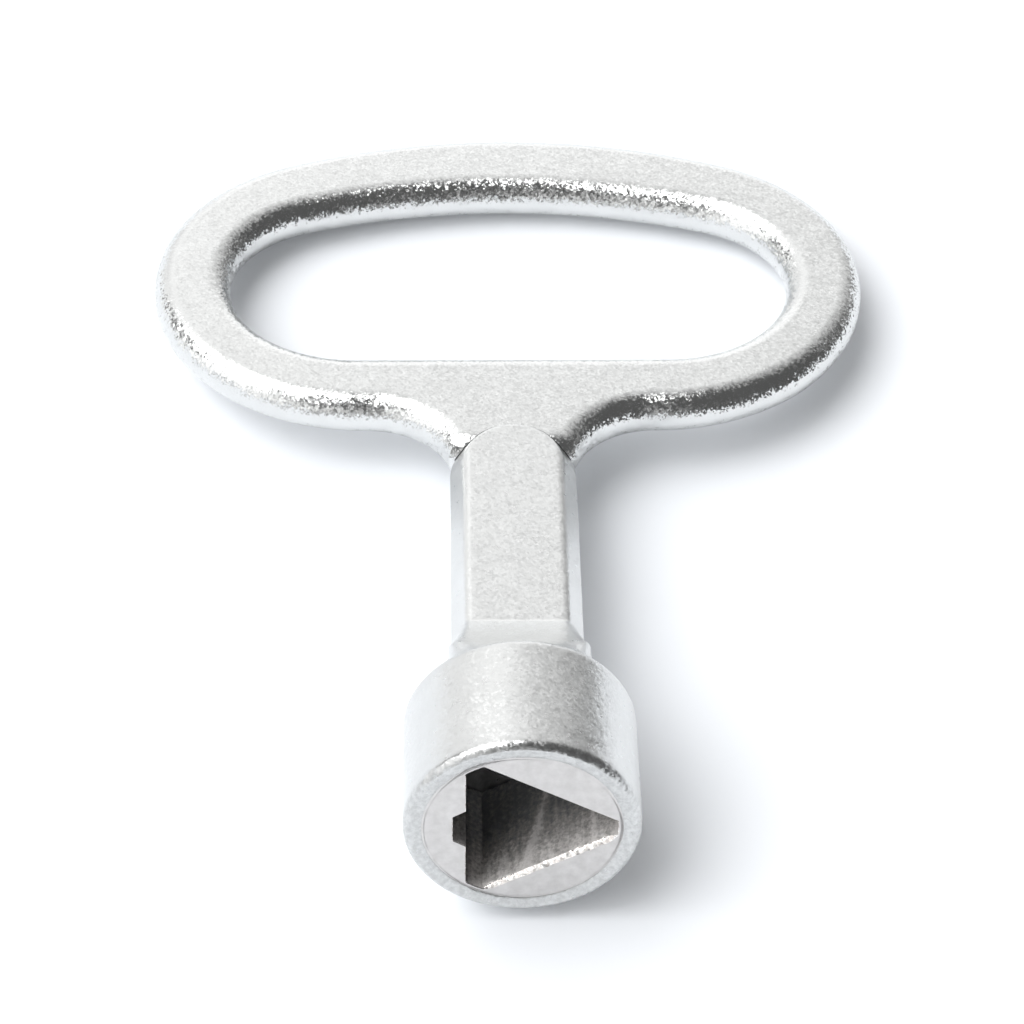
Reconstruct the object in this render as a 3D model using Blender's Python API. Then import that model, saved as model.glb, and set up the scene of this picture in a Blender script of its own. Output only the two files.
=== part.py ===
"""Triangular-socket service key with a D-shaped finger loop.

The key is modelled along its own axis: the socket's face lies in the plane Y = 0, the axis
runs along +Y to the loop, and the loop's plate lies in the XY plane. A parent empty then lays
it down as it rests on a table, on the back of its round head and the far edge of its loop.
"""

import bmesh
import bpy
import math
from mathutils import Vector

MM = 0.001
GAP = 0.3 * MM
CLEAR = 0.02 * MM
WELD = 0.001 * MM

# Finger loop: one plate whose edges are fully rounded. Its outlines are those of the flat
# faces, so the plate's real edge stands proud of them by the edge radius.
EDGE_RADIUS = 2.3 * MM
OUTER = {
    "half_width": 33.2 * MM,
    "far_y": 95.8 * MM,
    "near_y": 55.9 * MM,
    "far_radius": 58.6 * MM,
    "far_corner": 17.8 * MM,
}
HOLE = {
    "half_width": 30.2 * MM,
    "far_y": 90.9 * MM,
    "near_y": 59.5 * MM,
    "far_radius": 65.0 * MM,
    "far_corner": 13.7 * MM,
}
THROAT_RADIUS = 8.0 * MM
PLATE_END_Y = 47.4 * MM

# Stem: a flat bar with a narrow upright parting line on each side, sides that lean in from it
# and rounded long edges. Its arched end lies in the plate and leans in like its sides.
STEM_HALF_WIDTH = 5.95 * MM
STEM_HALF_HEIGHT = 2.65 * MM
STEM_FLAT_HALF = 4.0 * MM
STEM_ROUND = 1.0 * MM
PARTING_HALF = 0.42 * MM
SIDE_LEAN = 0.6
ARCH_SPRING_Y = 44.9 * MM
ARCH_LENGTH = 6.7 * MM

# Head: a round boss whose rim is rounded and stands a little proud of the insert, with a dished
# ring between them, and a domed shoulder. A ramp with a crisp start runs up
# to the shoulder from the stem's top and bottom, and a fillet runs up to it from each side.
HEAD_RADIUS = 10.2 * MM
RIM_Y = -0.2 * MM
RIM_ROUND = 0.85 * MM
RIM_SWEEP = math.radians(72.0)
SHOULDER_Y = 12.0 * MM
SHOULDER_LENGTH = 2.4 * MM
SHOULDER_DROP = 5.7 * MM
RAMP_START_Y = 23.0 * MM
RAMP_SLOPE = math.radians(22.0)
RAMP_FLAT_HALF = 5.9 * MM
RAMP_MERGE_START_Y = 16.8 * MM
RAMP_MERGE_END_Y = 13.25 * MM
SIDE_FILLET_START_Y = 19.0 * MM

# Socket insert: a round sleeve with a three-cornered hole, corners cut back to a circle, and
# a keyway in the middle of one side.
INSERT_RADIUS = 8.5 * MM
INSERT_LENGTH = 11.5 * MM
TRIANGLE_INRADIUS = 4.8 * MM
TRIANGLE_CORNER_REACH = 8.15 * MM
KEYWAY_DEPTH = 1.1 * MM
KEYWAY_MOUTH_HALF = 2.1 * MM
KEYWAY_FLOOR_HALF = 1.4 * MM

COLLECTION_NAME = "triangular_socket_key"


def clear_scene():
    for old in list(bpy.data.objects):
        bpy.data.objects.remove(old, do_unlink=True)


def new_collection(name):
    collection = bpy.data.collections.new(name)
    bpy.context.scene.collection.children.link(collection)
    return collection


def metal(name, colour, roughness):
    material = bpy.data.materials.new(name)
    material.use_nodes = True
    shader = material.node_tree.nodes["Principled BSDF"]
    shader.inputs["Base Color"].default_value = (*colour, 1.0)
    shader.inputs["Roughness"].default_value = roughness
    shader.inputs["Metallic"].default_value = 1.0
    return material


def add_object(name, data, collection, material=None):
    item = bpy.data.objects.new(name, data)
    collection.objects.link(item)
    if material:
        item.data.materials.append(material)
    return item


def arc(centre, radius, start, end, steps):
    """Points along an arc, angles in degrees, both ends included."""
    points = []
    for index in range(steps + 1):
        angle = math.radians(start + (end - start) * index / steps)
        points.append((centre[0] + radius * math.cos(angle), centre[1] + radius * math.sin(angle)))
    return points


def mirrored(right_half):
    """A closed outline from its right half, which runs from the axis round to the axis."""
    left_half = [(-x, y) for x, y in reversed(right_half) if x > WELD]
    return right_half + left_half


def loop_side(size):
    """Right half of a D-shaped outline, from its far crown to the start of its near edge."""
    crown = (0.0, size["far_y"] - size["far_radius"])
    far_x = size["half_width"] - size["far_corner"]
    reach = size["far_radius"] - size["far_corner"]
    far_centre = (far_x, crown[1] + math.sqrt(reach ** 2 - far_x ** 2))
    join = math.degrees(math.atan2(far_centre[1] - crown[1], far_x))
    near_corner = far_centre[1] - size["near_y"]
    near_centre = (size["half_width"] - near_corner, far_centre[1])
    points = arc(crown, size["far_radius"], 90.0, join, 9)
    points += arc(far_centre, size["far_corner"], join, 0.0, 8)[1:]
    points += arc(near_centre, near_corner, 0.0, -90.0, 10)[1:]
    return points


def plate_outline():
    throat = THROAT_RADIUS + EDGE_RADIUS
    neck_x = STEM_HALF_WIDTH - EDGE_RADIUS
    points = loop_side(OUTER)[:-1]
    points += arc((neck_x + throat, OUTER["near_y"] - throat), throat, 90.0, 180.0, 9)[:-1]
    points = [point for point in points if point[1] > PLATE_END_Y + EDGE_RADIUS]
    points.append((neck_x, PLATE_END_Y + EDGE_RADIUS))
    return mirrored(points)


def without_repeats(points):
    kept = []
    for point in points:
        if not kept or math.dist(point, kept[-1]) > WELD:
            kept.append(point)
    return kept


def flat_curve(name, outlines, half_height, edge_radius, collection):
    """A plate from closed outlines; half_height counts the rounded edge."""
    curve = bpy.data.curves.new(name, "CURVE")
    curve.dimensions = "2D"
    curve.fill_mode = "BOTH"
    curve.extrude = half_height - edge_radius
    curve.bevel_depth = edge_radius
    curve.bevel_resolution = 4
    for outline in outlines:
        points = without_repeats(outline)
        spline = curve.splines.new("POLY")
        spline.points.add(len(points) - 1)
        for target, (x, y) in zip(spline.points, points):
            target.co = (x, y, 0.0, 1.0)
        spline.use_cyclic_u = True
    return add_object(name, curve, collection)


def curve_to_mesh(source, name, collection, material=None):
    """The curve's solid as a mesh object with its caps welded on; the curve is removed."""
    bpy.context.view_layer.update()
    graph = bpy.context.evaluated_depsgraph_get()
    mesh = bpy.data.meshes.new_from_object(source.evaluated_get(graph))
    solid = bmesh.new()
    solid.from_mesh(mesh)
    bmesh.ops.remove_doubles(solid, verts=solid.verts, dist=WELD)
    bmesh.ops.recalc_face_normals(solid, faces=solid.faces)
    solid.to_mesh(mesh)
    solid.free()
    mesh.materials.clear()
    item = add_object(name, mesh, collection, material)
    item.matrix_world = source.matrix_world
    bpy.data.objects.remove(source, do_unlink=True)
    return item


def make_cutter(item):
    item.hide_render = True
    item.display_type = "WIRE"
    return item


def cut(target, cutter, operation="DIFFERENCE"):
    modifier = target.modifiers.new(cutter.name, "BOOLEAN")
    modifier.object = cutter
    modifier.operation = operation
    modifier.solver = "EXACT"


def shade(item, angle):
    item.data.shade_smooth()
    item.data.set_sharp_from_angle(angle=math.radians(angle))


def arch_ring(z, grow):
    """Outline at height z of a block that ends like the stem and is as wide as the head."""
    inset = SIDE_LEAN * (abs(z) - PARTING_HALF)
    half_width = STEM_HALF_WIDTH + grow - inset
    length = ARCH_LENGTH + grow - inset
    wide = HEAD_RADIUS + GAP
    steps = 12
    points = []
    for index in range(steps + 1):
        angle = math.radians(90.0 - 90.0 * index / steps)
        points.append((half_width * math.cos(angle), ARCH_SPRING_Y + length * math.sin(angle)))
    points += [(wide, ARCH_SPRING_Y - 0.6 * MM), (wide, -GAP)]
    return [Vector((x, y, z)) for x, y in mirrored(points)]


def arch_block(name, grow, collection):
    top = HEAD_RADIUS + GAP
    heights = (-top, -PARTING_HALF, PARTING_HALF, top)
    return make_cutter(loft(name, [arch_ring(z, grow) for z in heights], collection))


def make_loop_handle(parts, cutters):
    hole = mirrored(loop_side(HOLE))
    outlines = [plate_outline(), list(reversed(hole))]
    curve = flat_curve("loop_plate", outlines, EDGE_RADIUS, EDGE_RADIUS, cutters)
    material = metal("loop_zinc", (0.80, 0.81, 0.82), 0.34)
    handle = curve_to_mesh(curve, "loop_handle", parts, material)
    cut(handle, arch_block("stem_seat", GAP, cutters))
    shade(handle, 40.0)
    return handle


def shoulder_point(angle):
    """Place along the axis and radius of the domed shoulder, from its brow to its back."""
    y = SHOULDER_Y + SHOULDER_LENGTH * math.sin(angle)
    return y, HEAD_RADIUS - SHOULDER_DROP * (1.0 - math.cos(angle))


class Fillet:
    """A concave arc that leaves a flat of height base at start_y, at a slope, for the shoulder.

    Its radius grows until it touches the back of the shoulder, and end_y is where it does.
    """

    def __init__(self, start_y, base, slope):
        self.start_y = start_y
        self.base = base
        self.radius = 0.5 * MM
        self.end_y = None
        while self.end_y is None:
            self.radius += 0.05 * MM
            self.centre_y = start_y + self.radius * math.sin(slope)
            self.centre_height = base + self.radius * math.cos(slope)
            for step in range(41):
                y, height = shoulder_point(math.radians(90.0 * step / 40))
                if math.hypot(self.centre_y - y, self.centre_height - height) <= self.radius:
                    self.end_y = y
                    break

    def half_at(self, y):
        """Half height (or half width) of the body at y: plain stem, fillet or shoulder."""
        if y >= self.start_y:
            return self.base
        if y > self.end_y:
            run = self.centre_y - y
            return self.centre_height - math.sqrt(self.radius ** 2 - run ** 2)
        if y > SHOULDER_Y:
            return shoulder_point(math.asin((y - SHOULDER_Y) / SHOULDER_LENGTH))[1]
        return HEAD_RADIUS


def faceted_ring(y, half_width, half_height):
    """Section of the stem or ramp: flat top, rounded edge, leaning side, upright parting line."""
    along = min(1.0, max(0.0, (RAMP_START_Y - y) / (RAMP_START_Y - RAMP_MERGE_END_Y)))
    flat = STEM_FLAT_HALF + (RAMP_FLAT_HALF - STEM_FLAT_HALF) * along
    centre = Vector((flat, half_height - STEM_ROUND))
    edge = Vector((half_width, PARTING_HALF))
    run = edge - centre
    turn = math.degrees(math.atan2(run.y, run.x) + math.acos(STEM_ROUND / run.length))
    side_steps, edge_steps, top_steps = 5, 3, 3
    rounded = arc(centre, STEM_ROUND, turn, 90.0, edge_steps)
    quarter = [edge.lerp(Vector(rounded[0]), step / side_steps) for step in range(side_steps)]
    quarter += [Vector(point) for point in rounded[:-1]]
    for step in range(top_steps + 1):
        quarter.append(Vector((flat * (1.0 - step / top_steps), half_height)))
    top = quarter + [Vector((-x, z)) for x, z in reversed(quarter[:-1])]
    return top + [Vector((x, -z)) for x, z in reversed(top)]


def body_ring(y, half_width, half_height, pattern):
    """The faceted section, melting into a round one where the ramp runs into the shoulder."""
    merge = (RAMP_MERGE_START_Y - y) / (RAMP_MERGE_START_Y - RAMP_MERGE_END_Y)
    merge = min(1.0, max(0.0, merge))
    share = merge ** 1.5
    ring = []
    for point in pattern:
        way = point.normalized()
        round_radius = 1.0 / math.hypot(way.x / half_width, way.y / half_height)
        place = way * (point.length * (1.0 - share) + round_radius * share)
        ring.append(Vector((place.x, y, place.y)))
    return ring


def rim_profile():
    """Place along the axis and radius, out over the dished ring and round the rim."""
    profile = [(0.0, INSERT_RADIUS)]
    centre_y = RIM_Y + RIM_ROUND * math.sin(RIM_SWEEP)
    centre_radius = HEAD_RADIUS - RIM_ROUND
    steps = 5
    for step in range(steps + 1):
        angle = RIM_SWEEP * (1.0 - step / steps)
        profile.append((centre_y - RIM_ROUND * math.sin(angle),
                        centre_radius + RIM_ROUND * math.cos(angle)))
    return profile


def body_rings():
    """Cross-sections of head, shoulder and stem, from the face to past the arched end."""
    ramp = Fillet(RAMP_START_Y, STEM_HALF_HEIGHT, RAMP_SLOPE)
    flank = Fillet(SIDE_FILLET_START_Y, STEM_HALF_WIDTH, 0.0)
    meeting_y = max(ramp.end_y, flank.end_y)
    round_pattern = faceted_ring(meeting_y, flank.half_at(meeting_y), ramp.half_at(meeting_y))
    rings = [body_ring(y, radius, radius, round_pattern) for y, radius in rim_profile()]
    brow_steps = 5
    brow = math.asin((meeting_y - SHOULDER_Y) / SHOULDER_LENGTH)
    stations = [shoulder_point(brow * step / brow_steps)[0] for step in range(brow_steps + 1)]
    ramp_steps = 14
    for step in range(1, ramp_steps + 1):
        stations.append(meeting_y + (RAMP_START_Y - meeting_y) * step / ramp_steps)
    stations.append(ARCH_SPRING_Y + ARCH_LENGTH + GAP)
    for y in stations:
        half_width = flank.half_at(y)
        half_height = ramp.half_at(y)
        pattern = round_pattern
        if y > meeting_y:
            pattern = faceted_ring(y, half_width, half_height)
        rings.append(body_ring(y, half_width, half_height, pattern))
    return rings


def loft(name, rings, collection, material=None):
    """A closed solid through rings that all have the same number of points."""
    solid = bmesh.new()
    rows = [[solid.verts.new(point) for point in ring] for ring in rings]
    count = len(rows[0])
    for near, far in zip(rows, rows[1:]):
        for index in range(count):
            after = (index + 1) % count
            solid.faces.new((near[index], far[index], far[after], near[after]))
    solid.faces.new(rows[0])
    solid.faces.new(list(reversed(rows[-1])))
    bmesh.ops.remove_doubles(solid, verts=solid.verts, dist=WELD)
    bmesh.ops.recalc_face_normals(solid, faces=solid.faces)
    mesh = bpy.data.meshes.new(name)
    solid.to_mesh(mesh)
    solid.free()
    return add_object(name, mesh, collection, material)


def axis_cylinder(name, radius, start_y, end_y, segments, collection, material=None):
    """A round bar along Y between two places."""
    mesh = bpy.data.meshes.new(name)
    solid = bmesh.new()
    bmesh.ops.create_cone(solid, cap_ends=True, segments=segments, radius1=radius,
                          radius2=radius, depth=end_y - start_y)
    solid.to_mesh(mesh)
    solid.free()
    item = add_object(name, mesh, collection, material)
    item.rotation_euler.x = math.radians(90.0)
    item.location.y = (start_y + end_y) / 2
    return item


def make_shank(parts, cutters):
    material = metal("shank_zinc", (0.80, 0.81, 0.82), 0.36)
    shank = loft("shank", body_rings(), parts, material)
    cut(shank, arch_block("arched_end", CLEAR, cutters), "INTERSECT")
    bore = axis_cylinder("insert_bore", INSERT_RADIUS + GAP, -GAP, INSERT_LENGTH + GAP, 64, cutters)
    cut(shank, make_cutter(bore))
    shade(shank, 40.0)
    return shank


def triangle_outline():
    """The hole, one corner towards +X: sides at the inradius, corners cut to a circle."""
    half_angle = math.degrees(math.acos(TRIANGLE_INRADIUS / TRIANGLE_CORNER_REACH))
    outline = []
    for corner in (0.0, 120.0, 240.0):
        start = corner - 60.0 + half_angle
        end = corner + 60.0 - half_angle
        outline += arc((0.0, 0.0), TRIANGLE_CORNER_REACH, start, end, 4)
        if corner == 120.0:
            outline += keyway_outline()
    return outline


def keyway_outline():
    wall = -TRIANGLE_INRADIUS
    floor = wall - KEYWAY_DEPTH
    return [
        (wall, KEYWAY_MOUTH_HALF),
        (floor, KEYWAY_FLOOR_HALF),
        (floor, -KEYWAY_FLOOR_HALF),
        (wall, -KEYWAY_MOUTH_HALF),
    ]


def make_socket_insert(parts, cutters):
    material = metal("insert_steel", (0.78, 0.76, 0.74), 0.38)
    insert = axis_cylinder("socket_insert", INSERT_RADIUS, 0.0, INSERT_LENGTH, 64, parts, material)
    half_depth = INSERT_LENGTH / 2 + GAP
    curve = flat_curve("hole_outline", [triangle_outline()], half_depth, 0.0, cutters)
    curve.rotation_euler.x = math.radians(90.0)
    curve.location.y = INSERT_LENGTH / 2
    cut(insert, make_cutter(curve_to_mesh(curve, "triangular_hole", cutters)))
    shade(insert, 40.0)
    return insert


def resting_tilt():
    """Slope of the axis when the shoulder's lowest point and the loop's far edge touch down."""
    run = OUTER["far_y"] - SHOULDER_Y
    slant = math.hypot(run, HEAD_RADIUS)
    return math.atan2(HEAD_RADIUS, run) - math.asin(EDGE_RADIUS / slant)


def world_corners(items):
    bpy.context.view_layer.update()
    graph = bpy.context.evaluated_depsgraph_get()
    low = Vector((math.inf,) * 3)
    high = Vector((-math.inf,) * 3)
    for item in items:
        evaluated = item.evaluated_get(graph)
        for vertex in evaluated.data.vertices:
            place = item.matrix_world @ vertex.co
            low = Vector(map(min, low, place))
            high = Vector(map(max, high, place))
    return low, high


def lay_down(items, cutters, collection):
    """Tilt the key onto its two supports, with the origin under the middle of its box."""
    rest = bpy.data.objects.new("resting_pose", None)
    collection.objects.link(rest)
    rest.rotation_euler.x = -resting_tilt()
    for item in items + list(cutters.objects):
        item.parent = rest
    low, high = world_corners(items)
    rest.location = (-(low.x + high.x) / 2, -(low.y + high.y) / 2, -low.z)


def main():
    clear_scene()
    parts = new_collection(COLLECTION_NAME)
    cutters = new_collection(COLLECTION_NAME + "_cutters")
    pieces = [
        make_loop_handle(parts, cutters),
        make_shank(parts, cutters),
        make_socket_insert(parts, cutters),
    ]
    lay_down(pieces, cutters, parts)


main()
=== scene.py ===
"""Looks of the triangular-socket service key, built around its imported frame.

Each visual piece stands for one CAD node. Pieces are modelled along the key's own axis, with
the socket's face at Y = 0 and the loop's plate in the XY plane, and are then laid down at the
CAD's resting tilt.
"""

import math

import bmesh
import bpy
from mathutils import Matrix, Vector, noise


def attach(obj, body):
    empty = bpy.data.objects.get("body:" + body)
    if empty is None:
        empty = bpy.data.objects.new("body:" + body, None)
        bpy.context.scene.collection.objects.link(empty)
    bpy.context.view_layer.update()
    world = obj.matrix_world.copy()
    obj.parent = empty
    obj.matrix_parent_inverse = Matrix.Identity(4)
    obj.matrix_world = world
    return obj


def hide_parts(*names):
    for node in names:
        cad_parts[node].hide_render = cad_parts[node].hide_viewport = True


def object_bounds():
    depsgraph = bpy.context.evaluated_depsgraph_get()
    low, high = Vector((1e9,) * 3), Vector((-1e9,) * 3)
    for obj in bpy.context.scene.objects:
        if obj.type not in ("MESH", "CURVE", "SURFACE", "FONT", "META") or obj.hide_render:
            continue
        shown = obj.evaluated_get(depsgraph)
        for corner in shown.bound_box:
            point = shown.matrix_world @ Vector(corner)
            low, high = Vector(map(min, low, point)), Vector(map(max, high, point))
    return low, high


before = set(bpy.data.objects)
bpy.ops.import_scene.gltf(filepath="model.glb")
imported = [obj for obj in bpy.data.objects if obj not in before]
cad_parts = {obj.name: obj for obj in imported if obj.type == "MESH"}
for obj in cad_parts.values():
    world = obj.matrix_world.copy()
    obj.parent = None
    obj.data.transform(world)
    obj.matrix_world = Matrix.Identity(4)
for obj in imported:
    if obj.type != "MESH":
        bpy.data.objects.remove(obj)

CAD_BOX = [list(corner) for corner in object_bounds()]
MM = 0.001

# The outlines of the loop's flat faces, in mm. Every other size is in metres.
OUTER = {"half_width": 33.2, "far_y": 95.8, "near_y": 55.9, "far_radius": 58.6, "far_corner": 17.8}
HOLE = {"half_width": 30.2, "far_y": 90.9, "near_y": 59.5, "far_radius": 65.0, "far_corner": 13.7}

# The CAD's driving sizes.
EDGE_RADIUS = 2.3 * MM
THROAT_RADIUS = 8.0 * MM
PLATE_END_Y = 47.4 * MM
STEM_HALF_WIDTH = 5.95 * MM
STEM_HALF_HEIGHT = 2.65 * MM
STEM_FLAT_HALF = 4.0 * MM
STEM_ROUND = 1.0 * MM
PARTING_HALF = 0.42 * MM
SIDE_LEAN = 0.6
ARCH_SPRING_Y = 44.9 * MM
ARCH_LENGTH = 6.7 * MM
HEAD_RADIUS = 10.2 * MM
RIM_Y = -0.2 * MM
RIM_ROUND = 0.85 * MM
RIM_SWEEP = math.radians(72.0)
SHOULDER_Y = 12.0 * MM
SHOULDER_LENGTH = 2.4 * MM
SHOULDER_DROP = 5.7 * MM
RAMP_START_Y = 23.0 * MM
RAMP_SLOPE = math.radians(22.0)
RAMP_RADIUS = 27.0 * MM
RAMP_END_Y = 13.02 * MM
RAMP_MERGE_START_Y = 16.8 * MM
RAMP_MERGE_END_Y = 13.25 * MM
RAMP_MERGE_POWER = 1.5
RAMP_FLAT_HALF = 5.9 * MM
SIDE_FILLET_START_Y = 19.0 * MM
SIDE_FILLET_RADIUS = 6.55 * MM
SIDE_FILLET_END_Y = 13.25 * MM
INSERT_RADIUS = 8.6 * MM
INSERT_LENGTH = 11.5 * MM
TRIANGLE_INRADIUS = 4.8 * MM
TRIANGLE_CORNER_REACH = 8.15 * MM
KEYWAY_DEPTH = 1.1 * MM
KEYWAY_MOUTH_HALF = 2.1 * MM
KEYWAY_FLOOR_HALF = 1.4 * MM

# Detail that only the looks have. Each pair says over what distance a surface wanders and by
# how much, and OTHER_NOISE is far enough off for a second, independent wander.
ARCH_SEAM = 0.09 * MM
INSERT_SEAM = 0.008 * MM
OTHER_NOISE = 0.05
LOOP_UNEVEN = (7.0 * MM, 0.05 * MM)
SHANK_UNEVEN = (5.0 * MM, 0.03 * MM)
WALL_UNEVEN = (1.1 * MM, 0.05 * MM)
UNEVEN_START_Y = 2.0 * MM
SHARP_ANGLE = math.radians(35.0)
WELD = 0.001 * MM

# The stem's arched end, the seat cut for it in the loop's plate, and the rod that is joined to
# the arched end so that it trims nothing nearer the head.
ARCH_HALF_HEIGHT = STEM_HALF_HEIGHT + 0.06 * MM
ARCH_EDGE_RADIUS = 0.32 * MM
ARCH_START_Y = 32.0 * MM
ARCH_SIDE_ROOM = 1.5 * MM
ARCH_SIDE_Y = ARCH_SPRING_Y - 0.6 * MM
SEAT_HALF_HEIGHT = 4.0 * MM
SEAT_START_Y = 30.0 * MM
KEEP_RADIUS = 12.0 * MM
KEEP_START_Y = -1.0 * MM
KEEP_END_Y = 36.0 * MM

# The bore that takes the insert, from its floor to its mouth, the dished ring round it, and the
# body's loft, which runs past the arched end's crown before it is trimmed.
BORE_RADIUS = INSERT_RADIUS + INSERT_SEAM
BORE_ROOM = 0.1 * MM
BORE_FLOOR_Y = INSERT_LENGTH + BORE_ROOM
BORE_FLOOR_RADII = (2.0 * MM, 5.0 * MM)
BORE_WALL_Y = (BORE_FLOOR_Y, INSERT_LENGTH, 8.0 * MM, 4.0 * MM, 1.0 * MM, 0.12 * MM, 0.02 * MM)
BORE_MOUTH_EDGE = 0.03 * MM
DISH_SHARES = (0.35, 0.7, 0.93)
BODY_START_Y = 0.9 * MM
BODY_END_Y = ARCH_SPRING_Y + ARCH_LENGTH + 1.0 * MM
BODY_SPACING = 0.25 * MM

# The insert's wall from its floor up, the broken edge of its mouth, whose depth and bulge are
# shares of its width, and its rim as pairs of how far in from the full radius and how deep.
HOLE_SPACING = 0.12 * MM
WALL_DEPTHS = (INSERT_LENGTH, 9.0 * MM, 7.0 * MM, 5.0 * MM, 3.5 * MM, 2.2 * MM, 1.2 * MM,
               0.6 * MM)
LIP_WIDTH = 0.07 * MM
LIP_SHARES = (0.3, 0.7)
LIP_DEPTH = 1.05
LIP_BULGE = 0.9
WORN_SIDE = math.radians(-60.0)
WORN_REACH = 0.05 * MM
WORN_EXTRA_WIDTH = 0.29 * MM
WORN_HALF_LENGTH = 6.6 * MM
WORN_FADE = 0.8 * MM
WORN_RAGGED = (0.6 * MM, 0.3)
FACE_SHARES = (0.0, 0.15, 0.4, 0.7, 0.93)
INSERT_RIM = ((0.25 * MM, 0.0), (0.125 * MM, 0.012 * MM), (0.0, 0.035 * MM))

# The insert's places for materials; its face has place 0.
WALL_MATERIAL = 1
LIP_MATERIAL = 2


# ---------------------------------------------------------------- shapes

def clamped(value):
    return min(1.0, max(0.0, value))


def arc(centre, radius, start, end, spacing=0.4 * MM):
    """Points along an arc, angles in degrees, both ends included."""
    length = abs(math.radians(end - start)) * radius
    steps = max(3, math.ceil(length / spacing))
    points = []
    for index in range(steps + 1):
        angle = math.radians(start + (end - start) * index / steps)
        points.append((centre[0] + radius * math.cos(angle), centre[1] + radius * math.sin(angle)))
    return points


def line(start, end, spacing):
    """Points along a straight line, the start included and the end left out."""
    steps = max(1, math.ceil(math.dist(start, end) / spacing))
    points = []
    for index in range(steps):
        share = index / steps
        points.append((start[0] + (end[0] - start[0]) * share,
                       start[1] + (end[1] - start[1]) * share))
    return points


def mirrored(right_half):
    """A whole outline from its right half."""
    left_half = [(-x, y) for x, y in reversed(right_half) if x > WELD]
    return right_half + left_half


def loop_side(size):
    """Right half of a D-shaped outline, from its far crown to the start of its near edge."""
    size = {key: value * MM for key, value in size.items()}
    crown_centre = (0.0, size["far_y"] - size["far_radius"])
    corner_x = size["half_width"] - size["far_corner"]
    reach = size["far_radius"] - size["far_corner"]
    corner_centre = (corner_x, crown_centre[1] + math.sqrt(reach ** 2 - corner_x ** 2))
    join = math.degrees(math.atan2(corner_centre[1] - crown_centre[1], corner_x))
    near_corner = corner_centre[1] - size["near_y"]
    near_centre = (size["half_width"] - near_corner, corner_centre[1])
    points = arc(crown_centre, size["far_radius"], 90.0, join)
    points += arc(corner_centre, size["far_corner"], join, 0.0)[1:]
    points += arc(near_centre, near_corner, 0.0, -90.0)[1:]
    return points


def plate_outline():
    """The loop's outer outline, with its two throats and the end that takes the stem."""
    throat = THROAT_RADIUS + EDGE_RADIUS
    neck_x = STEM_HALF_WIDTH - EDGE_RADIUS
    points = loop_side(OUTER)[:-1]
    near_y = OUTER["near_y"] * MM
    points += arc((neck_x + throat, near_y - throat), throat, 90.0, 180.0)[:-1]
    points = [point for point in points if point[1] > PLATE_END_Y + EDGE_RADIUS]
    points.append((neck_x, PLATE_END_Y + EDGE_RADIUS))
    return mirrored(points)


def without_repeats(points):
    """The points without any that lie on the one before."""
    kept = []
    for point in points:
        if not kept or math.dist(point, kept[-1]) > WELD:
            kept.append(point)
    return kept


def add_object(name, data):
    item = bpy.data.objects.new(name, data)
    bpy.context.scene.collection.objects.link(item)
    return item


def mesh_from(solid, name):
    """A new mesh from a bmesh, welded and facing outwards; the bmesh is freed."""
    bmesh.ops.remove_doubles(solid, verts=solid.verts, dist=WELD)
    bmesh.ops.recalc_face_normals(solid, faces=solid.faces)
    mesh = bpy.data.meshes.new(name)
    solid.to_mesh(mesh)
    solid.free()
    return mesh


def plate(name, outlines, half_height, edge_radius):
    """A plate with rounded edges from closed outlines; half_height counts the rounding."""
    curve = bpy.data.curves.new(name + "_outline", "CURVE")
    curve.dimensions = "2D"
    curve.fill_mode = "BOTH"
    curve.extrude = half_height - edge_radius
    curve.bevel_depth = edge_radius
    curve.bevel_resolution = 10
    for outline in outlines:
        points = without_repeats(outline)
        spline = curve.splines.new("POLY")
        spline.points.add(len(points) - 1)
        for target, (x, y) in zip(spline.points, points):
            target.co = (x, y, 0.0, 1.0)
        spline.use_cyclic_u = True
    source = add_object(name + "_curve", curve)
    bpy.context.view_layer.update()
    graph = bpy.context.evaluated_depsgraph_get()
    raw = bpy.data.meshes.new_from_object(source.evaluated_get(graph))
    solid = bmesh.new()
    solid.from_mesh(raw)
    bpy.data.objects.remove(source, do_unlink=True)
    bpy.data.curves.remove(curve)
    bpy.data.meshes.remove(raw)
    return add_object(name, mesh_from(solid, name))


def combine(target, other, operation):
    """Applies an exact Boolean of other on target and removes other."""
    modifier = target.modifiers.new(operation.lower(), "BOOLEAN")
    modifier.object = other
    modifier.operation = operation
    modifier.solver = "EXACT"
    bpy.context.view_layer.update()
    graph = bpy.context.evaluated_depsgraph_get()
    raw = bpy.data.meshes.new_from_object(target.evaluated_get(graph))
    target.modifiers.clear()
    solid = bmesh.new()
    solid.from_mesh(raw)
    bpy.data.meshes.remove(raw)
    many_sided = [face for face in solid.faces if len(face.verts) > 4]
    bmesh.ops.triangulate(solid, faces=many_sided, ngon_method="BEAUTY")
    bmesh.ops.dissolve_degenerate(solid, edges=solid.edges, dist=2.0 * WELD)
    target.data = mesh_from(solid, target.name)
    bpy.data.objects.remove(other, do_unlink=True)


def arch_ring(z, grow, start_y):
    """Outline of the stem's arched end at height z, with room at its sides below the arch."""
    inset = SIDE_LEAN * max(0.0, abs(z) - PARTING_HALF)
    half_width = STEM_HALF_WIDTH + grow - inset
    length = ARCH_LENGTH + grow - inset
    wide = STEM_HALF_WIDTH + ARCH_SIDE_ROOM
    steps = 40
    points = []
    for index in range(steps + 1):
        angle = math.radians(90.0 - 90.0 * index / steps)
        points.append((half_width * math.cos(angle), ARCH_SPRING_Y + length * math.sin(angle)))
    points += [(wide, ARCH_SIDE_Y), (wide, start_y)]
    return [Vector((x, y, z)) for x, y in mirrored(points)]


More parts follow.
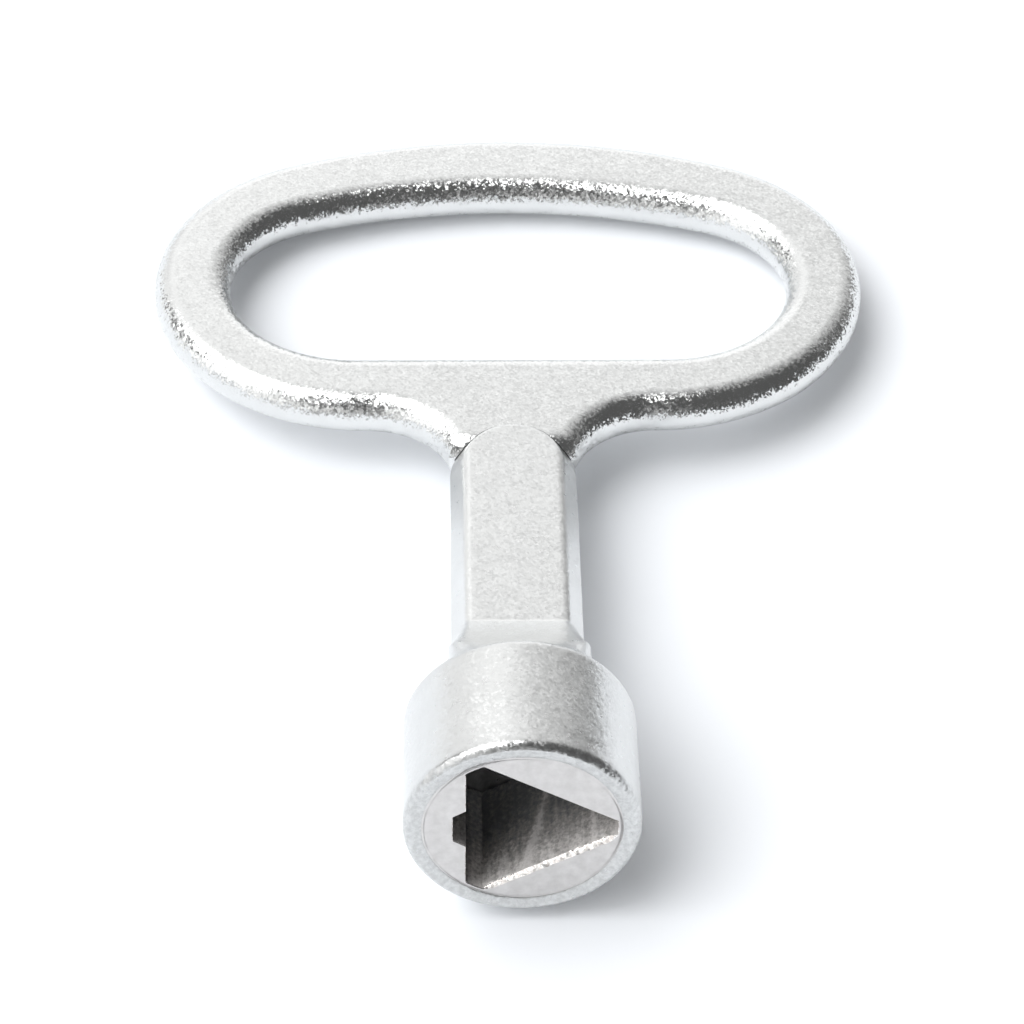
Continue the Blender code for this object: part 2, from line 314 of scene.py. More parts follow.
def arch_levels(top, edge_radius):
    """Heights of the arched end's outlines with how far a rounded top edge draws each one in."""
    upper = [(PARTING_HALF, 0.0)]
    steps = 6
    if edge_radius:
        for step in range(steps + 1):
            angle = math.radians(90.0 * step / steps)
            upper.append((top - edge_radius * (1.0 - math.sin(angle)),
                          edge_radius * (1.0 - math.cos(angle))))
    else:
        upper.append((top, 0.0))
    return [(-z, drawn) for z, drawn in reversed(upper)] + upper


def uneven(place, size, amount):
    """A small smooth offset that varies over distances of about size."""
    return amount * noise.noise(Vector(place) / size)


def make_loop():
    """The cast loop, with the seat for the stem's arched end cut into its plate."""
    hole = list(reversed(mirrored(loop_side(HOLE))))
    item = plate("loop_handle_cast", [plate_outline(), hole], EDGE_RADIUS, EDGE_RADIUS)
    for vertex in item.data.vertices:
        x, y, z = vertex.co
        vertex.co.x += uneven((x, y, 0.0), *LOOP_UNEVEN)
        vertex.co.y += uneven((x, y, OTHER_NOISE), *LOOP_UNEVEN)
    levels = arch_levels(SEAT_HALF_HEIGHT, 0.0)
    seat = loft("stem_seat", [arch_ring(z, ARCH_SEAM, SEAT_START_Y) for z, _ in levels])
    combine(item, seat, "DIFFERENCE")
    return item


def shoulder_half(y):
    """Half size of the round head and its domed shoulder at y."""
    angle = math.asin(min(1.0, (y - SHOULDER_Y) / SHOULDER_LENGTH)) if y > SHOULDER_Y else 0.0
    return HEAD_RADIUS - SHOULDER_DROP * (1.0 - math.cos(angle))


def half_width_at(y):
    """The body's half width at y: plain stem, side fillet or shoulder."""
    if y >= SIDE_FILLET_START_Y:
        return STEM_HALF_WIDTH
    if y > SIDE_FILLET_END_Y:
        run = SIDE_FILLET_START_Y - y
        return STEM_HALF_WIDTH + SIDE_FILLET_RADIUS - math.sqrt(SIDE_FILLET_RADIUS ** 2 - run ** 2)
    return shoulder_half(y)


def half_height_at(y):
    """The body's half height at y: plain stem, ramp or shoulder."""
    if y >= RAMP_START_Y:
        return STEM_HALF_HEIGHT
    if y > RAMP_END_Y:
        run = RAMP_START_Y + RAMP_RADIUS * math.sin(RAMP_SLOPE) - y
        rise = RAMP_RADIUS * math.cos(RAMP_SLOPE) - math.sqrt(RAMP_RADIUS ** 2 - run ** 2)
        return STEM_HALF_HEIGHT + rise
    return shoulder_half(y)


def faceted_ring(y):
    """Section of the stem or ramp: flat top, rounded edge, leaning side, upright parting line."""
    half_width = half_width_at(y)
    half_height = half_height_at(y)
    along = clamped((RAMP_START_Y - y) / (RAMP_START_Y - RAMP_END_Y))
    flat = STEM_FLAT_HALF + (RAMP_FLAT_HALF - STEM_FLAT_HALF) * along
    centre = Vector((flat, half_height - STEM_ROUND))
    edge = Vector((half_width, PARTING_HALF))
    run = edge - centre
    turn = math.atan2(run.y, run.x) + math.acos(STEM_ROUND / run.length)
    touch = centre + Vector((math.cos(turn), math.sin(turn))) * STEM_ROUND
    side_steps, edge_steps, top_steps = 16, 8, 10
    quarter = [edge.lerp(touch, step / side_steps) for step in range(side_steps)]
    for step in range(edge_steps):
        angle = turn + (math.pi / 2 - turn) * step / edge_steps
        quarter.append(centre + Vector((math.cos(angle), math.sin(angle))) * STEM_ROUND)
    for step in range(top_steps + 1):
        quarter.append(Vector((flat * (1.0 - step / top_steps), half_height)))
    top = quarter + [Vector((-x, z)) for x, z in reversed(quarter[:-1])]
    return top + [Vector((x, -z)) for x, z in reversed(top)]


def circle_section(y, radius):
    """A round section whose points lie in the same directions as those of the ramp's end."""
    ring = []
    for point in faceted_ring(RAMP_END_Y):
        place = point.normalized() * radius
        ring.append(Vector((place.x, y, place.y)))
    return ring


def body_section(y):
    """The faceted section, melting into a round one where the ramp runs into the shoulder."""
    half_width = half_width_at(y)
    half_height = half_height_at(y)
    merge = clamped((RAMP_MERGE_START_Y - y) / (RAMP_MERGE_START_Y - RAMP_MERGE_END_Y))
    share = merge ** RAMP_MERGE_POWER
    ring = []
    for point in faceted_ring(max(y, RAMP_END_Y)):
        way = point.normalized()
        round_radius = 1.0 / math.hypot(way.x / half_width, way.y / half_height)
        place = way * (point.length * (1.0 - share) + round_radius * share)
        ring.append(Vector((place.x, y, place.y)))
    return ring


def stations(places, spacing):
    """Every place in order, with even steps no longer than spacing between them."""
    found = [places[0]]
    for start, end in zip(places, places[1:]):
        steps = max(1, math.ceil((end - start) / spacing))
        found += [start + (end - start) * step / steps for step in range(1, steps + 1)]
    return found


def rim_profile():
    """Place along the axis and radius round the rim, from where it leaves the dished ring."""
    centre_y = RIM_Y + RIM_ROUND * math.sin(RIM_SWEEP)
    centre_radius = HEAD_RADIUS - RIM_ROUND
    steps = 14
    profile = []
    for step in range(steps + 1):
        angle = RIM_SWEEP * (1.0 - step / steps)
        profile.append((centre_y - RIM_ROUND * math.sin(angle),
                        centre_radius + RIM_ROUND * math.cos(angle)))
    return profile


def head_face_rings():
    """From the bore's floor out over the dished ring and the rounded rim."""
    rings = [circle_section(BORE_FLOOR_Y, radius) for radius in BORE_FLOOR_RADII]
    rings += [circle_section(y, BORE_RADIUS) for y in BORE_WALL_Y]
    rings.append(circle_section(0.0, BORE_RADIUS + BORE_MOUTH_EDGE))
    rim = rim_profile()
    rim_y, rim_radius = rim[0]
    for share in DISH_SHARES:
        radius = BORE_RADIUS + (rim_radius - BORE_RADIUS) * share
        rings.append(circle_section(rim_y * share, radius))
    rings += [circle_section(y, radius) for y, radius in rim]
    return rings


def body_rings():
    """From the rim's end over head, shoulder, ramp and stem to past the arched end."""
    places = [BODY_START_Y, SHOULDER_Y, RAMP_END_Y, RAMP_MERGE_END_Y, RAMP_MERGE_START_Y,
              SIDE_FILLET_START_Y, RAMP_START_Y, BODY_END_Y]
    return [body_section(y) for y in stations(places, BODY_SPACING)]


def loft(name, rings):
    """A closed solid through rings that all have the same number of points."""
    solid = bmesh.new()
    rows = [[solid.verts.new(point) for point in ring] for ring in rings]
    count = len(rows[0])
    for near, far in zip(rows, rows[1:]):
        for index in range(count):
            after = (index + 1) % count
            solid.faces.new((near[index], far[index], far[after], near[after]))
    solid.faces.new(rows[0])
    solid.faces.new(list(reversed(rows[-1])))
    return add_object(name, mesh_from(solid, name))


def make_shank():
    """The cast shank: head, shoulder, ramp and stem in one loft, trimmed by its arched end."""
    item = loft("shank_cast", head_face_rings() + body_rings())
    for vertex in item.data.vertices:
        place = vertex.co.copy()
        inside = math.hypot(place.x, place.z) < INSERT_RADIUS + BORE_ROOM
        if place.y > UNEVEN_START_Y and not (inside and place.y < SHOULDER_Y):
            away = Vector((place.x, 0.0, place.z)).normalized()
            vertex.co += away * uneven(place, *SHANK_UNEVEN)
    levels = arch_levels(ARCH_HALF_HEIGHT, ARCH_EDGE_RADIUS)
    arch = loft("arched_end", [arch_ring(z, -drawn, ARCH_START_Y) for z, drawn in levels])
    ends = [circle_section(y, KEEP_RADIUS) for y in (KEEP_START_Y, KEEP_END_Y)]
    keep = loft("keep", ends)
    combine(arch, keep, "UNION")
    combine(item, arch, "INTERSECT")
    return item


def hole_outline():
    """The socket's hole, one corner towards +X, with the keyway in the side facing it."""
    half_angle = math.degrees(math.acos(TRIANGLE_INRADIUS / TRIANGLE_CORNER_REACH))
    corners = []
    for corner in (0.0, 120.0, 240.0):
        corners.append(arc((0.0, 0.0), TRIANGLE_CORNER_REACH, corner - 60.0 + half_angle,
                           corner + 60.0 - half_angle, HOLE_SPACING))
    wall = -TRIANGLE_INRADIUS
    floor = wall - KEYWAY_DEPTH
    keyway = [(wall, KEYWAY_MOUTH_HALF), (floor, KEYWAY_FLOOR_HALF),
              (floor, -KEYWAY_FLOOR_HALF), (wall, -KEYWAY_MOUTH_HALF)]
    stops = [corners[0], corners[1], keyway, corners[2], corners[0]]
    points = []
    for here, there in zip(stops, stops[1:]):
        for start, end in zip(here, here[1:]):
            points += line(start, end, HOLE_SPACING)
        points += line(here[-1], there[0], HOLE_SPACING)
    return without_repeats(points)


def outward(points, index):
    """Which way the hole's wall faces away from its middle at one point."""
    before = points[index - 1]
    after = points[(index + 1) % len(points)]
    along = Vector((after[0] - before[0], after[1] - before[1]))
    return Vector((along.y, -along.x)).normalized()


def lip_width(point):
    """Width of the broken edge round the mouth; it is wide and ragged on the worn side."""
    worn = Vector((math.cos(WORN_SIDE), math.sin(WORN_SIDE)))
    if Vector(point).dot(worn) < TRIANGLE_INRADIUS - WORN_REACH:
        return LIP_WIDTH
    along = abs(Vector(point).dot(worn.orthogonal()))
    fade = clamped((WORN_HALF_LENGTH - along) / WORN_FADE)
    ragged = 1.0 + uneven((*point, 0.0), *WORN_RAGGED)
    return LIP_WIDTH + WORN_EXTRA_WIDTH * fade * ragged


def insert_column(point, away):
    """Places down the wall, over the mouth's edge, across the face and down the outside."""
    lip = lip_width(point)
    angle = math.atan2(point[1], point[0])
    inner = Vector(point)
    mouth = inner + away * lip
    edge = Vector((math.cos(angle), math.sin(angle))) * INSERT_RADIUS
    column = []
    for depth in WALL_DEPTHS:
        place = inner + away * uneven((point[0], depth, point[1]), *WALL_UNEVEN)
        column.append((place.x, depth, place.y))
    column.append((point[0], lip * LIP_DEPTH, point[1]))
    for share in LIP_SHARES:
        place = inner + away * lip * share
        column.append((place.x, lip * (1.0 - share) * LIP_BULGE, place.y))
    for share in FACE_SHARES:
        place = mouth.lerp(edge, share)
        column.append((place.x, 0.0, place.y))
    for inset, y in INSERT_RIM:
        radius = INSERT_RADIUS - inset
        column.append((edge.x * radius / INSERT_RADIUS, y, edge.y * radius / INSERT_RADIUS))
    column.append((edge.x, INSERT_LENGTH, edge.y))
    return column


def make_insert():
    """The machined insert, a closed ring of columns round the socket's hole."""
    points = hole_outline()
    solid = bmesh.new()
    columns = []
    for index, point in enumerate(points):
        column = insert_column(point, outward(points, index))
        columns.append([solid.verts.new(place) for place in column])
    wall_rows = len(WALL_DEPTHS)
    lip_rows = 1 + len(LIP_SHARES)
    for index, here in enumerate(columns):
        there = columns[(index + 1) % len(columns)]
        rows = len(here)
        for row in range(rows):
            below = (row + 1) % rows
            face = solid.faces.new((here[row], there[row], there[below], here[below]))
            if row < wall_rows:
                face.material_index = WALL_MATERIAL
            elif row < wall_rows + lip_rows:
                face.material_index = LIP_MATERIAL
    return add_object("socket_insert_machined", mesh_from(solid, "socket_insert_machined"))


def resting_tilt():
    """Slope of the axis when the shoulder's lowest point and the loop's far edge touch down."""
    run = OUTER["far_y"] * MM - SHOULDER_Y
    slant = math.hypot(run, HEAD_RADIUS)
    return math.atan2(HEAD_RADIUS, run) - math.asin(EDGE_RADIUS / slant)


def lay_down(items):
    """Tilts the pieces' meshes and sets them in the middle of the CAD's box, on its bottom."""
    tilt = Matrix.Rotation(-resting_tilt(), 4, "X")
    low = Vector((math.inf,) * 3)
    high = Vector((-math.inf,) * 3)
    for item in items:
        item.data.transform(tilt)
        for vertex in item.data.vertices:
            low = Vector(map(min, low, vertex.co))
            high = Vector(map(max, high, vertex.co))
    cad_low, cad_high = Vector(CAD_BOX[0]), Vector(CAD_BOX[1])
    shift = (cad_low + cad_high - low - high) / 2
    shift.z = cad_low.z - low.z
    for item in items:
        item.data.transform(Matrix.Translation(shift))
    return shift


def shade(item):
    """Smooth shading that keeps the edges sharper than SHARP_ANGLE."""
    item.data.shade_smooth()
    item.data.set_sharp_from_angle(angle=SHARP_ANGLE)
    weighted = item.modifiers.new("weighted_normals", "WEIGHTED_NORMAL")
    weighted.keep_sharp = True
    weighted.weight = 60


# ---------------------------------------------------------------- materials

# Colours are linear and places are in mm. Each pair of facets is how many to the mm and their
# share of the tip. FACE_STAIN is the most and the least that stains take off the head's front.
# Each mark on the socket's walls has a place across the wall, a half width and a strength.
ZINC = (0.755, 0.762, 0.757)
ZINC_MOTTLE = 0.955
ZINC_FACETS = ((4.2, 1.0), (8.5, 0.6))
# The head and its ramp are painted darker than the stem: a painted shade.
HEAD_SHADED_BRIGHTNESS = 0.95
HEAD_FADE_Y = (14.0, 24.0)
FACE_STAIN = (0.21, 0.03)
FACE_FADE_Y = (0.2, 1.0)
STEEL = (0.68, 0.665, 0.655)
STEEL_MOTTLE = (0.57, 0.555, 0.545)
STEEL_FACETS = ((4.5, 1.0), (9.0, 0.6))
LIP_BRIGHT = (0.92, 0.90, 0.88)
LIP_BRUISED = (0.74, 0.69, 0.66)
LIP_FACETS = ((3.5, 1.0), (7.0, 0.7))
WALL_TONES = ((0.38, (0.24, 0.245, 0.255)), (0.54, (0.45, 0.43, 0.415)),
              (0.74, (0.88, 0.85, 0.83)))
WALL_FACETS = ((4.0, 1.0), (8.0, 0.6))
WALL_WAY = (0.866, 0.5)
BROAD_MARK = (-2.25, 0.8, 0.26)
THIN_MARK = (4.4, 0.3, 0.15)
# The keyway's painted shade fades in between these two places across the hole.
KEYWAY_SHADE_FADE_X = (-4.75, -4.2)
CARD = (0.89, 0.915, 0.95, 1.0)
CARD_GLOW = 0.065
WHITE = (1.0, 1.0, 1.0, 1.0)


def calculate(tree, operation, first, second=0.0):
    """A math node on two values, each a number or another node's output."""
    node = tree.nodes.new("ShaderNodeMath")
    node.operation = operation
    for socket, value in zip(node.inputs, (first, second)):
        if isinstance(value, float):
            socket.default_value = value
        else:
            tree.links.new(value, socket)
    return node.outputs[0]


class Nodes:
    """Short calls for building one material's node tree in the key's own axes, in mm."""

    def __init__(self, name, shift, metallic=1.0):
        self.material = bpy.data.materials.new(name)
        self.material.use_nodes = True
        self.tree = self.material.node_tree
        self.shader = self.tree.nodes["Principled BSDF"]
        self.shader.inputs["Metallic"].default_value = metallic
        coordinates = self.tree.nodes.new("ShaderNodeTexCoord")
        place = self.tree.nodes.new("ShaderNodeMapping")
        place.vector_type = "TEXTURE"
        place.inputs["Location"].default_value = shift
        place.inputs["Rotation"].default_value = (-resting_tilt(), 0.0, 0.0)
        place.inputs["Scale"].default_value = (MM, MM, MM)
        self.link(coordinates.outputs["Object"], place.inputs["Vector"])
        self.place = place.outputs["Vector"]

    def link(self, source, target):
        self.tree.links.new(source, target)

    def feed(self, socket, value):
        """Links a value to one of the shader's inputs."""
        self.link(value, self.shader.inputs[socket])

    def stretched(self, scale):
        node = self.tree.nodes.new("ShaderNodeMapping")
        node.inputs["Scale"].default_value = scale
        self.link(self.place, node.inputs["Vector"])
        return node.outputs["Vector"]

    def noise(self, scale, detail=2.0, rough=0.5, vector=None):
        node = self.tree.nodes.new("ShaderNodeTexNoise")
        node.inputs["Scale"].default_value = scale
        node.inputs["Detail"].default_value = detail
        node.inputs["Roughness"].default_value = rough
        self.link(vector or self.place, node.inputs["Vector"])
        return node.outputs["Fac"]

    def cells(self, scale):
        """A random colour for each small cell."""
        node = self.tree.nodes.new("ShaderNodeTexVoronoi")
        node.inputs["Scale"].default_value = scale
        self.link(self.place, node.inputs["Vector"])
        return node.outputs["Color"]

    def math(self, operation, first, second=0.0):
        return calculate(self.tree, operation, first, second)

    def spread(self, value, low, high, to_low, to_high):
        """The range from low to high laid over the range from to_low to to_high."""
        node = self.tree.nodes.new("ShaderNodeMapRange")
        node.clamp = True
        for name, number in (("From Min", low), ("From Max", high), ("To Min", to_low),
                             ("To Max", to_high)):
            node.inputs[name].default_value = number
        self.link(value, node.inputs["Value"])
        return node.outputs["Result"]

    def ramp(self, value, stops):
        node = self.tree.nodes.new("ShaderNodeValToRGB")
        elements = node.color_ramp.elements
        while len(elements) < len(stops):
            elements.new(0.5)
        for element, (position, colour) in zip(elements, stops):
            element.position = position
            element.color = (*colour, 1.0)
        self.link(value, node.inputs["Fac"])
        return node.outputs["Color"]

    def bump(self, height, distance, normal):
        node = self.tree.nodes.new("ShaderNodeBump")
        node.inputs["Distance"].default_value = distance
        self.link(height, node.inputs["Height"])
        self.link(normal, node.inputs["Normal"])
        return node.outputs["Normal"]

    def normal(self):
        return self.tree.nodes.new("ShaderNodeNewGeometry").outputs["Normal"]

    def facets(self, scales, amount, base=None):
        """A normal tipped at random from one small flat to the next; amount is the largest tip."""
        base = base or self.normal()
        for scale, share in scales:
            centred = self.vector("SUBTRACT", self.cells(scale), (0.5, 0.5, 0.5))
            if isinstance(amount, float):
                tip = self.vector("SCALE", centred, amount * share * 2.0)
            else:
                tip = self.vector("SCALE", centred, self.math("MULTIPLY", amount, share * 2.0))
            base = self.vector("ADD", base, tip)
        return self.vector("NORMALIZE", base)

    def vector(self, operation, first, second=None):
        node = self.tree.nodes.new("ShaderNodeVectorMath")
        node.operation = operation
        self.link(first, node.inputs[0])
        if operation == "SCALE":
            if isinstance(second, float):
                node.inputs["Scale"].default_value = second
            else:
                self.link(second, node.inputs["Scale"])
        elif isinstance(second, tuple):
            node.inputs[1].default_value = second
        elif second is not None:
            self.link(second, node.inputs[1])
        return node.outputs["Value"] if operation == "DOT_PRODUCT" else node.outputs["Vector"]

    def axis(self, name):
        node = self.tree.nodes.new("ShaderNodeSeparateXYZ")
        self.link(self.place, node.inputs["Vector"])
        return node.outputs[name]


def blasted_zinc(name, shift, roughness, flat_tip, edge_tip, rim_tip=None):
    """Bright plating over a shot-blasted casting: tiny flats, faint mottling, small glints.

    The tips say how far the flats lean on the broad faces, on the edges and on the head's rim.
    """
    nodes = Nodes(name, shift)
    mottle = nodes.noise(0.35, 3.0)
    low = tuple(channel * ZINC_MOTTLE for channel in ZINC)
    colour = nodes.ramp(mottle, [(0.3, low), (0.7, ZINC)])
    # Painted shade: the head and ramp take a darker colour than the stem, fading out up the ramp.
    head_painted_shade = nodes.spread(nodes.axis("Y"), *HEAD_FADE_Y, HEAD_SHADED_BRIGHTNESS, 1.0)
    on_face = nodes.spread(nodes.axis("Y"), *FACE_FADE_Y, 1.0, 0.0)
    stain = nodes.spread(nodes.noise(2.2, 4.0, 0.7), 0.38, 0.62, *FACE_STAIN)
    shade_and_stain = nodes.math("SUBTRACT", head_painted_shade, nodes.math("MULTIPLY", on_face, stain))
    nodes.feed("Base Color", nodes.vector("SCALE", colour, shade_and_stain))
    patches = nodes.noise(1.3, 3.0)
    nodes.feed("Roughness", nodes.spread(patches, 0.3, 0.7, roughness - 0.03, roughness + 0.03))
    normal = nodes.normal()
    facing = nodes.vector("DOT_PRODUCT", normal, tuple(plate_normal()))
    amount = nodes.spread(nodes.math("ABSOLUTE", facing), 0.97, 0.8, flat_tip, edge_tip)
    if rim_tip:
        front = nodes.vector("DOT_PRODUCT", normal, tuple(face_normal()))
        amount = nodes.math("ADD", amount, nodes.spread(front, 0.08, 0.3, 0.0, rim_tip))
        amount = nodes.math("SUBTRACT", amount, nodes.spread(front, 0.9, 0.98, 0.0, rim_tip * 0.6))
    tipped = nodes.facets(ZINC_FACETS, amount, normal)
    nodes.feed("Normal", nodes.bump(nodes.noise(0.9, 1.0), 0.03 * MM, tipped))
    return nodes.material


def plate_normal():
    """Which way the loop's flat top faces once the key is laid down."""
    return Matrix.Rotation(-resting_tilt(), 3, "X") @ Vector((0.0, 0.0, 1.0))


def face_normal():
    """Which way the socket's face looks once the key is laid down."""
    return Matrix.Rotation(-resting_tilt(), 3, "X") @ Vector((0.0, -1.0, 0.0))


def insert_face(name, shift):
    """The insert's face: satin steel, slightly warmer than the zinc."""
    nodes = Nodes(name, shift)
    mottle = nodes.noise(0.9, 4.0, 0.6)
    nodes.feed("Base Color", nodes.ramp(mottle, [(0.3, STEEL_MOTTLE), (0.7, STEEL)]))
    patches = nodes.noise(2.2, 3.0)
    nodes.feed("Roughness", nodes.spread(patches, 0.3, 0.7, 0.28, 0.4))
    nodes.feed("Normal", nodes.facets(STEEL_FACETS, 0.05))
    return nodes.material


def worn_lip(name, shift):
    """The bright, bruised edge where spindles have rubbed the mouth."""
    nodes = Nodes(name, shift)
    blotches = nodes.noise(2.6, 3.0, 0.6)
    nodes.feed("Base Color", nodes.ramp(blotches, [(0.35, LIP_BRUISED), (0.6, LIP_BRIGHT)]))
    nodes.feed("Roughness", nodes.spread(blotches, 0.3, 0.7, 0.3, 0.16))
    nodes.feed("Normal", nodes.facets(LIP_FACETS, 0.13))
    return nodes.material


def mark(nodes, along, middle, half_width, strength):
    """A streak of the given strength that fades to 0 on both sides."""
    off = nodes.math("ABSOLUTE", nodes.math("SUBTRACT", along, middle))
    return nodes.math("MULTIPLY", nodes.spread(off, 0.0, half_width, 1.0, 0.0), strength)


def socket_wall(name, shift):
    """The hole's walls: dull and dark, streaked along the axis, with painted shade deeper in and
    in the keyway.
    """
    nodes = Nodes(name, shift, metallic=0.45)
    nodes.shader.inputs["Specular IOR Level"].default_value = 0.4
    streaks = nodes.noise(1.7, 3.0, 0.6, nodes.stretched((1.0, 0.12, 1.0)))
    blotches = nodes.noise(2.6, 5.0, 0.7)
    mix = nodes.math("ADD", nodes.math("MULTIPLY", streaks, 0.35),
                     nodes.math("MULTIPLY", blotches, 0.65))
    x = nodes.axis("X")
    along = nodes.math("ADD", nodes.math("MULTIPLY", x, WALL_WAY[0]),
                       nodes.math("MULTIPLY", nodes.axis("Z"), WALL_WAY[1]))
    leaning = nodes.math("SUBTRACT", along, nodes.math("MULTIPLY", nodes.axis("Y"), 0.29))
    wavy = nodes.math("ADD", leaning, nodes.math("MULTIPLY", nodes.noise(0.8, 2.0), 0.5))
    marks = nodes.math("ADD", mark(nodes, wavy, *BROAD_MARK), mark(nodes, along, *THIN_MARK))
    # Painted shade: the walls are lighter near the mouth and darker deeper into the hole.
    worn = nodes.spread(nodes.axis("Y"), 0.0, 7.0, 0.2, -0.1)
    colour = nodes.ramp(nodes.math("ADD", nodes.math("ADD", mix, marks), worn), WALL_TONES)
    # Painted shade: the keyway recess is darkened.
    keyway_painted_shade = nodes.spread(x, *KEYWAY_SHADE_FADE_X, 0.38, 1.0)
    nodes.feed("Base Color", nodes.vector("SCALE", colour, keyway_painted_shade))
    nodes.feed("Roughness", nodes.spread(blotches, 0.3, 0.7, 0.6, 0.4))
    nodes.feed("Normal", nodes.facets(WALL_FACETS, 0.14))
    return nodes.material


def paper(name):
    """The floor: plain pale card."""
    material = bpy.data.materials.new(name)
    material.use_nodes = True
    shader = material.node_tree.nodes["Principled BSDF"]
    shader.inputs["Roughness"].default_value = 0.9
    shader.inputs["Specular IOR Level"].default_value = 0.1
    shader.inputs["Base Color"].default_value = CARD
    shader.inputs["Emission Color"].default_value = WHITE
    shader.inputs["Emission Strength"].default_value = CARD_GLOW
    return material


# ---------------------------------------------------------------- studio

FLOOR_HALF = 1.5
CAMERA_PLACE = Vector((-6.789, -232.839, 247.495)) * MM
CAMERA_AIM = Vector((-0.195, -7.909, 7.5)) * MM
CAMERA_ROLL = math.radians(1.055)
LENS = 123.827
SENSOR_WIDTH = 36.0

# The studio's soft lights: azimuth from straight behind the key towards +X, elevation, the
# angles from the middle at which the light has faded out and is full, and the brightness added.
LIGHTS = (
    ("overhead_softbox", -74.0, 62.0, 31.0, 20.0, 2.6),
    ("side_wall", -74.0, -37.0, 141.0, 81.0, 0.80),
    ("left_wall", -90.0, 6.0, 64.0, 26.0, 0.50),
    ("back_wall", 6.0, 42.0, 46.0, 4.0, 0.38),
    ("back_sweep", 0.0, -3.0, 32.0, 10.0, 0.30),
    ("right_wall", 48.0, 16.0, 34.0, 8.0, 0.10),
)
ROOM = 0.11
BACKDROP = 1.05

# Where the room's dark shows between the lights: a thin line along the horizon except straight
# behind the key, and one dark flag at the back on the left.
HORIZON_HEIGHT = (0.02, 0.13)
HORIZON_DEPTH = (0.15, 0.5)
FLAG = (-61.0, 20.0, 16.0, 8.0)

FILL_FROM = (-115.0, 48.0)
FILL_SPREAD = math.radians(50.0)
FILL_STRENGTH = 1.1


def make_floor():
    mesh = bpy.data.meshes.new("floor")
    solid = bmesh.new()
    bmesh.ops.create_grid(solid, x_segments=8, y_segments=8, size=FLOOR_HALF)
    solid.to_mesh(mesh)
    solid.free()
    mesh.materials.append(paper("pale_card"))
    floor = add_object("floor", mesh)


def make_camera():
    """A long lens that looks down at the key from in front and above."""
    data = bpy.data.cameras.new("view")
    data.lens = LENS
    data.sensor_width = SENSOR_WIDTH
    data.clip_start = 0.01
    data.clip_end = 20.0
    camera = add_object("view", data)
    turn = (CAMERA_AIM - CAMERA_PLACE).to_track_quat("-Z", "Y").to_matrix().to_4x4()
    roll = Matrix.Rotation(CAMERA_ROLL, 4, "Z")
    camera.matrix_world = Matrix.Translation(CAMERA_PLACE) @ turn @ roll
    bpy.context.scene.camera = camera


def direction_of(azimuth, elevation):
    """The way to a light: azimuth from behind the key towards +X, both angles in degrees."""
    azimuth = math.radians(azimuth)
    elevation = math.radians(elevation)
    level = math.cos(elevation)
    return Vector((level * math.sin(azimuth), level * math.cos(azimuth), math.sin(elevation)))


def faded_between(tree, value, low, high):
    """0 where value is below low, 1 where it is above high, and a smooth change between."""
    node = tree.nodes.new("ShaderNodeMapRange")
    node.interpolation_type = "SMOOTHSTEP"
    node.inputs["From Min"].default_value = low
    node.inputs["From Max"].default_value = high
    tree.links.new(value, node.inputs["Value"])
    return node.outputs["Result"]


def panel(tree, direction, azimuth, elevation, faded, full):
    """1 inside a round patch of the sky, fading to 0 at the angle faded from its middle."""
    near = tree.nodes.new("ShaderNodeVectorMath")
    near.operation = "DOT_PRODUCT"
    near.inputs[1].default_value = direction_of(azimuth, elevation)
    tree.links.new(direction, near.inputs[0])
    return faded_between(tree, near.outputs["Value"], math.cos(math.radians(faded)),
                         math.cos(math.radians(full)))


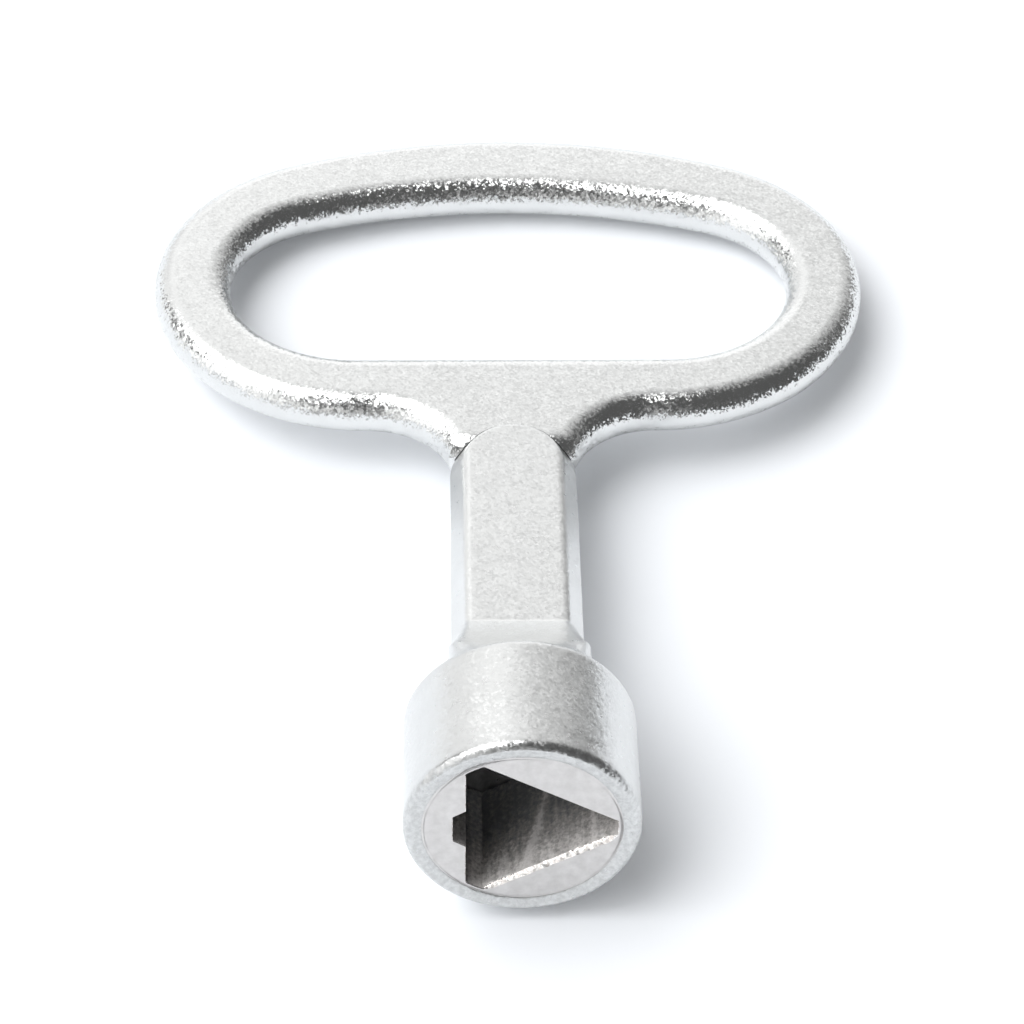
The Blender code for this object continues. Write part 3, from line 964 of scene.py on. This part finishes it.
def make_studio():
    """Soft light from one side, above and behind, in a dim room."""
    world = bpy.data.worlds.new("studio")
    bpy.context.scene.world = world
    world.use_nodes = True
    tree = world.node_tree
    background = tree.nodes["Background"]
    direction = tree.nodes.new("ShaderNodeTexCoord").outputs["Generated"]
    total = None
    for name, azimuth, elevation, faded, full, brightness in LIGHTS:
        share = panel(tree, direction, azimuth, elevation, faded, full)
        share.node.label = name
        share.node.inputs["To Max"].default_value = brightness
        total = calculate(tree, "ADD", total, share) if total else share
    parts = tree.nodes.new("ShaderNodeSeparateXYZ")
    tree.links.new(direction, parts.inputs["Vector"])
    above = faded_between(tree, parts.outputs["Z"], *HORIZON_HEIGHT)
    behind = faded_between(tree, parts.outputs["Y"], *HORIZON_DEPTH)
    flag = panel(tree, direction, *FLAG)
    unflagged = calculate(tree, "SUBTRACT", 1.0, flag)
    clear = calculate(tree, "MULTIPLY", calculate(tree, "MAXIMUM", above, behind), unflagged)
    lit = calculate(tree, "ADD", calculate(tree, "MULTIPLY", total, clear), ROOM)
    seen = tree.nodes.new("ShaderNodeLightPath")
    strength = tree.nodes.new("ShaderNodeMix")
    strength.inputs["B"].default_value = BACKDROP
    tree.links.new(seen.outputs["Is Camera Ray"], strength.inputs["Factor"])
    tree.links.new(lit, strength.inputs["A"])
    tree.links.new(strength.outputs["Result"], background.inputs["Strength"])
    background.inputs["Color"].default_value = WHITE


def make_fill():
    """A broad light that evens out the floor's shadows and leaves no glint of its own."""
    data = bpy.data.lights.new("fill", "SUN")
    data.energy = FILL_STRENGTH
    data.angle = FILL_SPREAD
    lamp = add_object("fill", data)
    lamp.rotation_euler = direction_of(*FILL_FROM).to_track_quat("Z", "Y").to_euler()
    lamp.visible_glossy = False


def main():
    pieces = {
        "loop_handle": make_loop(),
        "shank": make_shank(),
        "socket_insert": make_insert(),
    }
    shift = lay_down(pieces.values())
    finishes = {
        "loop_handle": [blasted_zinc("plated_loop", shift, roughness=0.19, flat_tip=0.07,
                                     edge_tip=0.15)],
        "shank": [blasted_zinc("plated_shank", shift, roughness=0.30, flat_tip=0.07,
                               edge_tip=0.05, rim_tip=0.055)],
        "socket_insert": [insert_face("insert_face", shift), socket_wall("socket_wall", shift),
                          worn_lip("worn_lip", shift)],
    }
    for node, piece in pieces.items():
        for material in finishes[node]:
            piece.data.materials.append(material)
        shade(piece)
        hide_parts(node)
        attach(piece, "root")
    make_floor()
    make_camera()
    make_studio()
    make_fill()
    bpy.context.scene.view_settings.view_transform = "Standard"


main()
